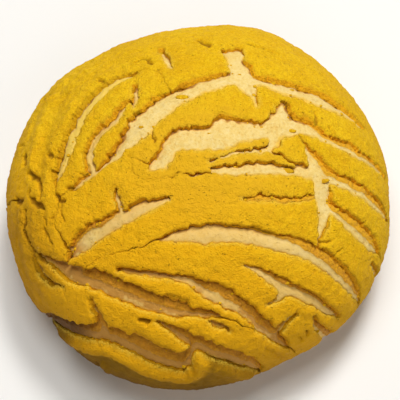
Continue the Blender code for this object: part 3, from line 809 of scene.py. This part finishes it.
def make_crust(name):
    """One plate: a fine top, crumbly walls round it and a coarse underside."""
    depth = plate_depth[name] - crumbling - leaning
    cells = plate_cells(depth)
    j, i = np.nonzero(cells)
    width = len(sheet_axis)
    keys = [(j + a) * width + i + b for a, b in ((0, 0), (0, 1), (1, 1), (1, 0))]
    used, numbers = np.unique(np.concatenate(keys), return_inverse=True)
    quads = numbers.reshape(4, -1).T
    row, column = used // width, used % width
    u, v, edge = sheet_axis[column], sheet_axis[row], depth[row, column]

    # The rim's points, and the cell sides that run round the plate between them.
    padded = np.pad(cells, 1)
    sides = []
    for k, (down, aside) in enumerate(((-1, 0), (0, 1), (1, 0), (0, -1))):
        outside = ~padded[j + 1 + down, i + 1 + aside]
        sides.append(np.stack([quads[outside, k], quads[outside, (k + 1) % 4]], -1))
    sides = np.concatenate(sides)
    rim = np.unique(sides)
    ring_of = np.zeros(len(u), int)
    ring_of[rim] = np.arange(len(rim))
    ring_sides = ring_of[sides]

    # The rim's points slide from the grid's corners onto the plate's true edge.
    slope_v, slope_u = (slope[row, column] for slope in np.gradient(depth, SHEET_STEP))
    steep = np.hypot(slope_u, slope_v).clip(LEAST_SLOPE)
    most = MOST_SHIFT * SHEET_STEP
    shift = np.zeros_like(u)
    shift[rim] = (edge[rim] / steep[rim]).clip(-most, most)
    top_u, top_v = u - shift * (slope_u / steep), v - shift * (slope_v / steep)
    near = (edge - shift).clip(0)
    front, tight = fronting[row, column], tightness[row, column]
    lift, sunk = top_height(name, top_u, top_v, near, front, tight)

    # Rings of points go down the broken wall and out to its foot, and the underside closes it.
    out_u, out_v = -depth_u[row, column][rim], -depth_v[row, column][rim]
    level = np.hypot(out_u, out_v).clip(LEAST_SLOPE)
    out_u, out_v = out_u / level, out_v / level
    lean = leaning[row, column][rim]
    rim_u, rim_v = top_u[rim], top_v[rim]
    blocks, levels = [lay(top_u, top_v, lift)], [np.zeros(len(u))]
    for share in WALL_RINGS:
        ring_lift = lift[rim] * (1 - share) + PASTE_FOOT * share
        out = lean * share**0.8 + layered(lay(rim_u, rim_v, ring_lift), WALL_LUMPS)
        blocks.append(lay(rim_u + out_u * out, rim_v + out_v * out, ring_lift))
        levels.append(np.full(len(rim), share))
    ties = [tuple(pair) for pair in ring_sides.tolist()]
    inner, closing = underside(cells, np.stack([row[rim], column[rim]], -1), ties)
    for below_u, below_v in ((u[rim], v[rim]), inner.T):
        blocks.append(lay(below_u, below_v, np.full(len(below_u), PASTE_FOOT)))
        levels.append(np.ones(len(below_u)))

    faces, upper = [quads], rim
    a, b = ring_sides.T
    for ring in range(len(WALL_RINGS) + 1):
        lower = len(u) + ring * len(rim) + np.arange(len(rim))
        faces.append(np.stack([upper[b], upper[a], lower[a], lower[b]], -1))
        upper = lower
    first_below = len(u) + len(WALL_RINGS) * len(rim)
    faces.append(first_below + closing[:, ::-1])

    source = np.concatenate([np.arange(len(u))] + [rim] * (len(WALL_RINGS) + 1))
    all_u, all_v = np.append(top_u[source], inner[:, 0]), np.append(top_v[source], inner[:, 1])
    facing = np.append(front[source], np.ones(len(inner)))
    # The thin back edges, which face the light, get a painted highlight.
    feather = (1 - front) * (1 - tight) * (1 - between(near, 0, 1))
    rest = np.zeros(len(all_u) - len(u))
    marks = toast_and_shade(name, all_u, all_v) | {
        "edge": np.append(near, rest),
        "front": facing * (1 - 0.8 * flush_at(all_u, all_v)),
        "feather": np.append(feather, rest),
        "wall": np.concatenate(levels),
        "sunk": np.append(sunk, rest),
    }
    return add_piece(name, np.concatenate(blocks), faces, marks)


YOLK, LEMON, AMBER = (0.82, 0.48, 0.006), (0.92, 0.60, 0.014), (0.70, 0.36, 0.005)
TOASTED, CROWN_TAN, FRONT_SHADE_ORANGE = (0.62, 0.30, 0.012), (0.80, 0.45, 0.016), (0.88, 0.425, 0.006)
RIM_SHADE_OLIVE, RIM_SHADE_DARK, UNDER_SHADE_OLIVE = (0.34, 0.155, 0.005), (0.12, 0.052, 0.002), (0.17, 0.085, 0.003)
WALL_GOLD, WALL_BROWN, WALL_TAN = (0.96, 0.49, 0.012), (0.74, 0.32, 0.008), (0.95, 0.465, 0.032)
PIT_BROWN, FEATHER_HIGHLIGHT = (0.26, 0.11, 0.006), (0.90, 0.64, 0.070)
PASTE_ROUGHNESS, PASTE_GLOSS = 0.8, 0.08

paste_finish, shader, tone = start_finish("sugar_paste", PASTE_ROUGHNESS)
shader.inputs["Specular IOR Level"].default_value = PASTE_GLOSS
edge, wall, under = tone.mark("edge"), tone.mark("wall"), tone.mark("under")
clouds, patches = tone.grain(11.0), tone.grain(3.2, 4.0)
worms, sugar = tone.grain(1.3, 3.0, 0.6, 1.5), tone.grain(0.45, 2.0, 0.6)
colour = clouds * 0.45 + patches * 0.3 + worms * 0.25
colour = colour.ramp((0.28, AMBER), (0.47, YOLK), (0.68, LEMON))
colour = colour.blend(sugar.over(0.50, 0.62) * 0.65, LEMON)
colour = colour.blend(sugar.over(0.46, 0.36) * 0.50, AMBER)
colour = colour.blend(worms.over(0.50, 0.40) * 0.55, AMBER)
toasted_edge = (1 - edge.over(0.0, 0.6)) * patches.over(0.35, 0.6)
colour = colour.blend(patches.over(0.54, 0.68) * 0.30 + toasted_edge * 0.35, TOASTED)
colour = colour.blend(tone.mark("crown") * (0.35 + patches * 0.9), CROWN_TAN)
# Painted shade: the paste turns orange toward the front, away from the light.
colour = colour.blend(tone.mark("to_front").over(-0.2, 0.8) * 0.75, FRONT_SHADE_ORANGE)
# Painted shade: olive toward the rim, most on the side away from the light and on the left.
colour = colour.blend(tone.mark("rim") * (0.30 + patches * 0.7), RIM_SHADE_OLIVE)
# Painted shade: olive on the lowest plate beyond its band, dark low on the rim's shaded side.
colour = colour.blend(under * (0.52 + patches * 0.4), UNDER_SHADE_OLIVE)
colour = colour.blend(tone.mark("lowest") * 0.65, RIM_SHADE_DARK)
# Painted highlight: the thin back edges, which face the light, turn pale yellow.
colour = colour.blend(tone.mark("feather") * sugar.over(0.35, 0.55) * 0.6, FEATHER_HIGHLIGHT)
pits = tone.grain(0.8, 1.0).over(0.71, 0.77)
colour = colour.blend(pits * 0.5, PIT_BROWN)
crumbly = tone.grain(0.8, 3.0, 0.7)
# Painted shade on the broken walls that face the front, away from the light: brown and gold, browner
# at the crown; painted light lifts the low front walls to gold above and tan below.
broken_wall_shade = patches * 0.35 + crumbly * 0.65 + 0.02 - tone.mark("crown") * 0.06
broken_wall_shade = broken_wall_shade.ramp((0.38, WALL_BROWN), (0.56, WALL_GOLD))
low_down = tone.mark("to_front").over(0.45, 0.62)
broken_wall_shade = broken_wall_shade.blend(low_down * wall.over(0.7, 0.3) * 0.75, WALL_GOLD)
broken_wall_shade = broken_wall_shade.blend(low_down * wall.over(0.35, 0.9), WALL_TAN)
colour = colour.blend(wall.over(0.0, 0.25) * tone.mark("front") * (1 - under * 0.75), broken_wall_shade)
# Painted shade in the dents: brown by how deep they sink.
colour = colour.blend(tone.mark("sunk").over(0.25, 1.1) * 0.75, PIT_BROWN)
relief = worms * 0.40 + sugar * 0.42 + patches * 0.3 - pits * 0.5
relief = relief + crumbly * wall.over(0.0, 0.2) * 0.9
finish_with(shader, {"Base Color": colour, "Normal": relief.bump(1.25, 1.0)})

for name in PLATE_NAMES:
    plate = make_crust(name)
    plate.data.materials.append(paste_finish)
    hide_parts(name)
    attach(plate, "root")

# The crumbs: grains of paste that broke off the edges of the plates as they tore. A few lie loose
# on the bread, each with a place and a size, and more still hang on beside an edge.
CRUMB_COUNT, CRUMB_SMALL, CRUMB_LARGE, CRUMB_SEED = 110, 0.22, 0.5, 7
LOOSE_CRUMBS = [(-4.5, 18, 0.9), (26, -4.5, 0.9), (11, -4.3, 0.5), (37, -6, 0.8),
                (18.6, 8.6, 0.3), (3.4, 5.6, 0.3), (27.4, 8.2, 0.6), (12.4, 26.4, 0.3),
                (28.6, 23.6, 0.4), (-16, 8, 0.4)]
LEDGE_NEAR, LEDGE_FAR, LEDGE_OPEN, CRUMB_REACH = 0.1, 0.9, 0.4, 74
CRUMB_RISE, CRUMB_ROUGHNESS, CRUMB_APART = 0.15, 0.45, 3.7
CRUMB_HEIGHT, LOOSE_STRETCH = 0.55, (1.5, 0.8, 0.7)

chance = np.random.default_rng(CRUMB_SEED)
ledge = (paste_depth < -LEDGE_NEAR) & (paste_depth > -LEDGE_FAR) & (tightness < LEDGE_OPEN)
rows, columns = np.nonzero(ledge & (np.hypot(sheet_u, sheet_v) < CRUMB_REACH))
chosen = chance.choice(len(rows), CRUMB_COUNT, replace=False)
grains = list(LOOSE_CRUMBS)
for j, i in zip(rows[chosen], columns[chosen]):
    size = CRUMB_SMALL + (CRUMB_LARGE - CRUMB_SMALL) * chance.random() ** 2
    grains.append((sheet_axis[i], sheet_axis[j], size))
ball = bmesh.new()
bmesh.ops.create_icosphere(ball, subdivisions=2, radius=1)
ball_points = np.array([vert.co for vert in ball.verts])
ball_faces = np.array([[vert.index for vert in face.verts] for face in ball.faces])
ball.free()
blocks, faces = [], []
for k, (u, v, size) in enumerate(grains):
    bread_top = bread_lift[np.hypot(bread_flat[:, 0] - u, bread_flat[:, 1] - v).argmin()]
    middle = lay(np.array([u]), np.array([v]), np.array([bread_top + CRUMB_RISE * size]))
    rough = 1 + CRUMB_ROUGHNESS * uneven(ball_points + CRUMB_APART * k, 0.9, 31)[:, None]
    stretch = np.array([1 + 0.5 * chance.random(), 1 + 0.3 * chance.random(), CRUMB_HEIGHT])
    if k < len(LOOSE_CRUMBS):
        stretch = stretch * LOOSE_STRETCH
    blocks.append(middle + ball_points * rough * stretch * size)
    faces.append(ball_faces + k * len(ball_points))
crumbs = add_piece("crumbs", np.concatenate(blocks), faces, {})
crumbs.data.materials.append(paste_finish)
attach(crumbs, "root")

# The table top: a pale matt board that reaches far out on every side. The bun stands on it on its
# own flat foot.
FLOOR_HALF, BOARD_GREY, BOARD_ROUGHNESS = 3.0, (0.86, 0.86, 0.85, 1), 0.9

floor_mesh = bpy.data.meshes.new("table_top")
floor_corners = [(-FLOOR_HALF, -FLOOR_HALF, 0), (FLOOR_HALF, -FLOOR_HALF, 0),
                 (FLOOR_HALF, FLOOR_HALF, 0), (-FLOOR_HALF, FLOOR_HALF, 0)]
floor_mesh.from_pydata(floor_corners, [], [(0, 1, 2, 3)])
floor = bpy.data.objects.new("table_top", floor_mesh)
bpy.context.scene.collection.objects.link(floor)
floor_finish, shader, _ = start_finish("pale_board", BOARD_ROUGHNESS)
shader.inputs["Base Color"].default_value = BOARD_GREY
floor_mesh.materials.append(floor_finish)

# The light: soft daylight from behind and from above, and what the room gives back from the right
# and the front. Each has a direction and a height in degrees, a size, a power and a colour.
BUN_MIDDLE, LIGHT_DISTANCE = Vector((-0.0005, 0.0005, 0.019)), 1.2
DAYLIGHT, ROOM_LIGHT = (1.0, 0.985, 0.96), (1.0, 0.95, 0.88)
LIGHTS = {
    "window": (67, 62, 0.28, 8.8, DAYLIGHT),
    "overhead": (120, 80, 0.5, 6.3, DAYLIGHT),
    "room_side": (345, 40, 0.6, 1.0, ROOM_LIGHT),
    "room_front": (275, 42, 0.8, 2.3, ROOM_LIGHT),
}

for name, (azimuth, elevation, size, power, colour) in LIGHTS.items():
    a, e = math.radians(azimuth), math.radians(elevation)
    toward = Vector((math.cos(a) * math.cos(e), math.sin(a) * math.cos(e), math.sin(e)))
    lamp = bpy.data.lights.new(name, "AREA")
    lamp.size, lamp.energy, lamp.color = size, power, colour
    light = bpy.data.objects.new(name, lamp)
    light.location = BUN_MIDDLE + toward * LIGHT_DISTANCE
    light.rotation_euler = toward.to_track_quat("Z", "Y").to_euler()
    bpy.context.scene.collection.objects.link(light)

# The room round the table is dim, with a pale wall low down all round.
ROOM_TINT, ROOM_GLOW, WALL_GLOW = (1.0, 0.97, 0.93, 1), 0.05, 0.65

world = bpy.data.worlds.new("room")
world.use_nodes = True
sky = world.node_tree.nodes["Background"]
sky.inputs["Color"].default_value = ROOM_TINT
room = Tone(world.node_tree, None)
height = room.node("SeparateXYZ", {}, {"Vector": room.node("TexCoord", {}, {})}, 2)
glow = ROOM_GLOW + height.over(0.30, 0.10) * WALL_GLOW
world.node_tree.links.new(glow.socket, sky.inputs["Strength"])
bpy.context.scene.world = world

# The camera stands before the table and looks down on the bun.
CAMERA_ELEVATION, CAMERA_DISTANCE = math.radians(68.0), 0.42
LENS, SENSOR, CLIP_START = 121.34, 36, 0.01
SHIFT_RIGHT, SHIFT_UP = 0.0075, 0.00125

camera = bpy.data.objects.new("camera", bpy.data.cameras.new("camera"))
back = Vector((0, -math.cos(CAMERA_ELEVATION), math.sin(CAMERA_ELEVATION)))
camera.location = BUN_MIDDLE + back * CAMERA_DISTANCE
camera.rotation_euler = back.to_track_quat("Z", "Y").to_euler()
camera.data.lens, camera.data.sensor_width, camera.data.clip_start = LENS, SENSOR, CLIP_START
camera.data.shift_x, camera.data.shift_y = SHIFT_RIGHT, SHIFT_UP
bpy.context.scene.collection.objects.link(camera)
bpy.context.scene.camera = camera
bpy.context.scene.view_settings.view_transform = "Standard"
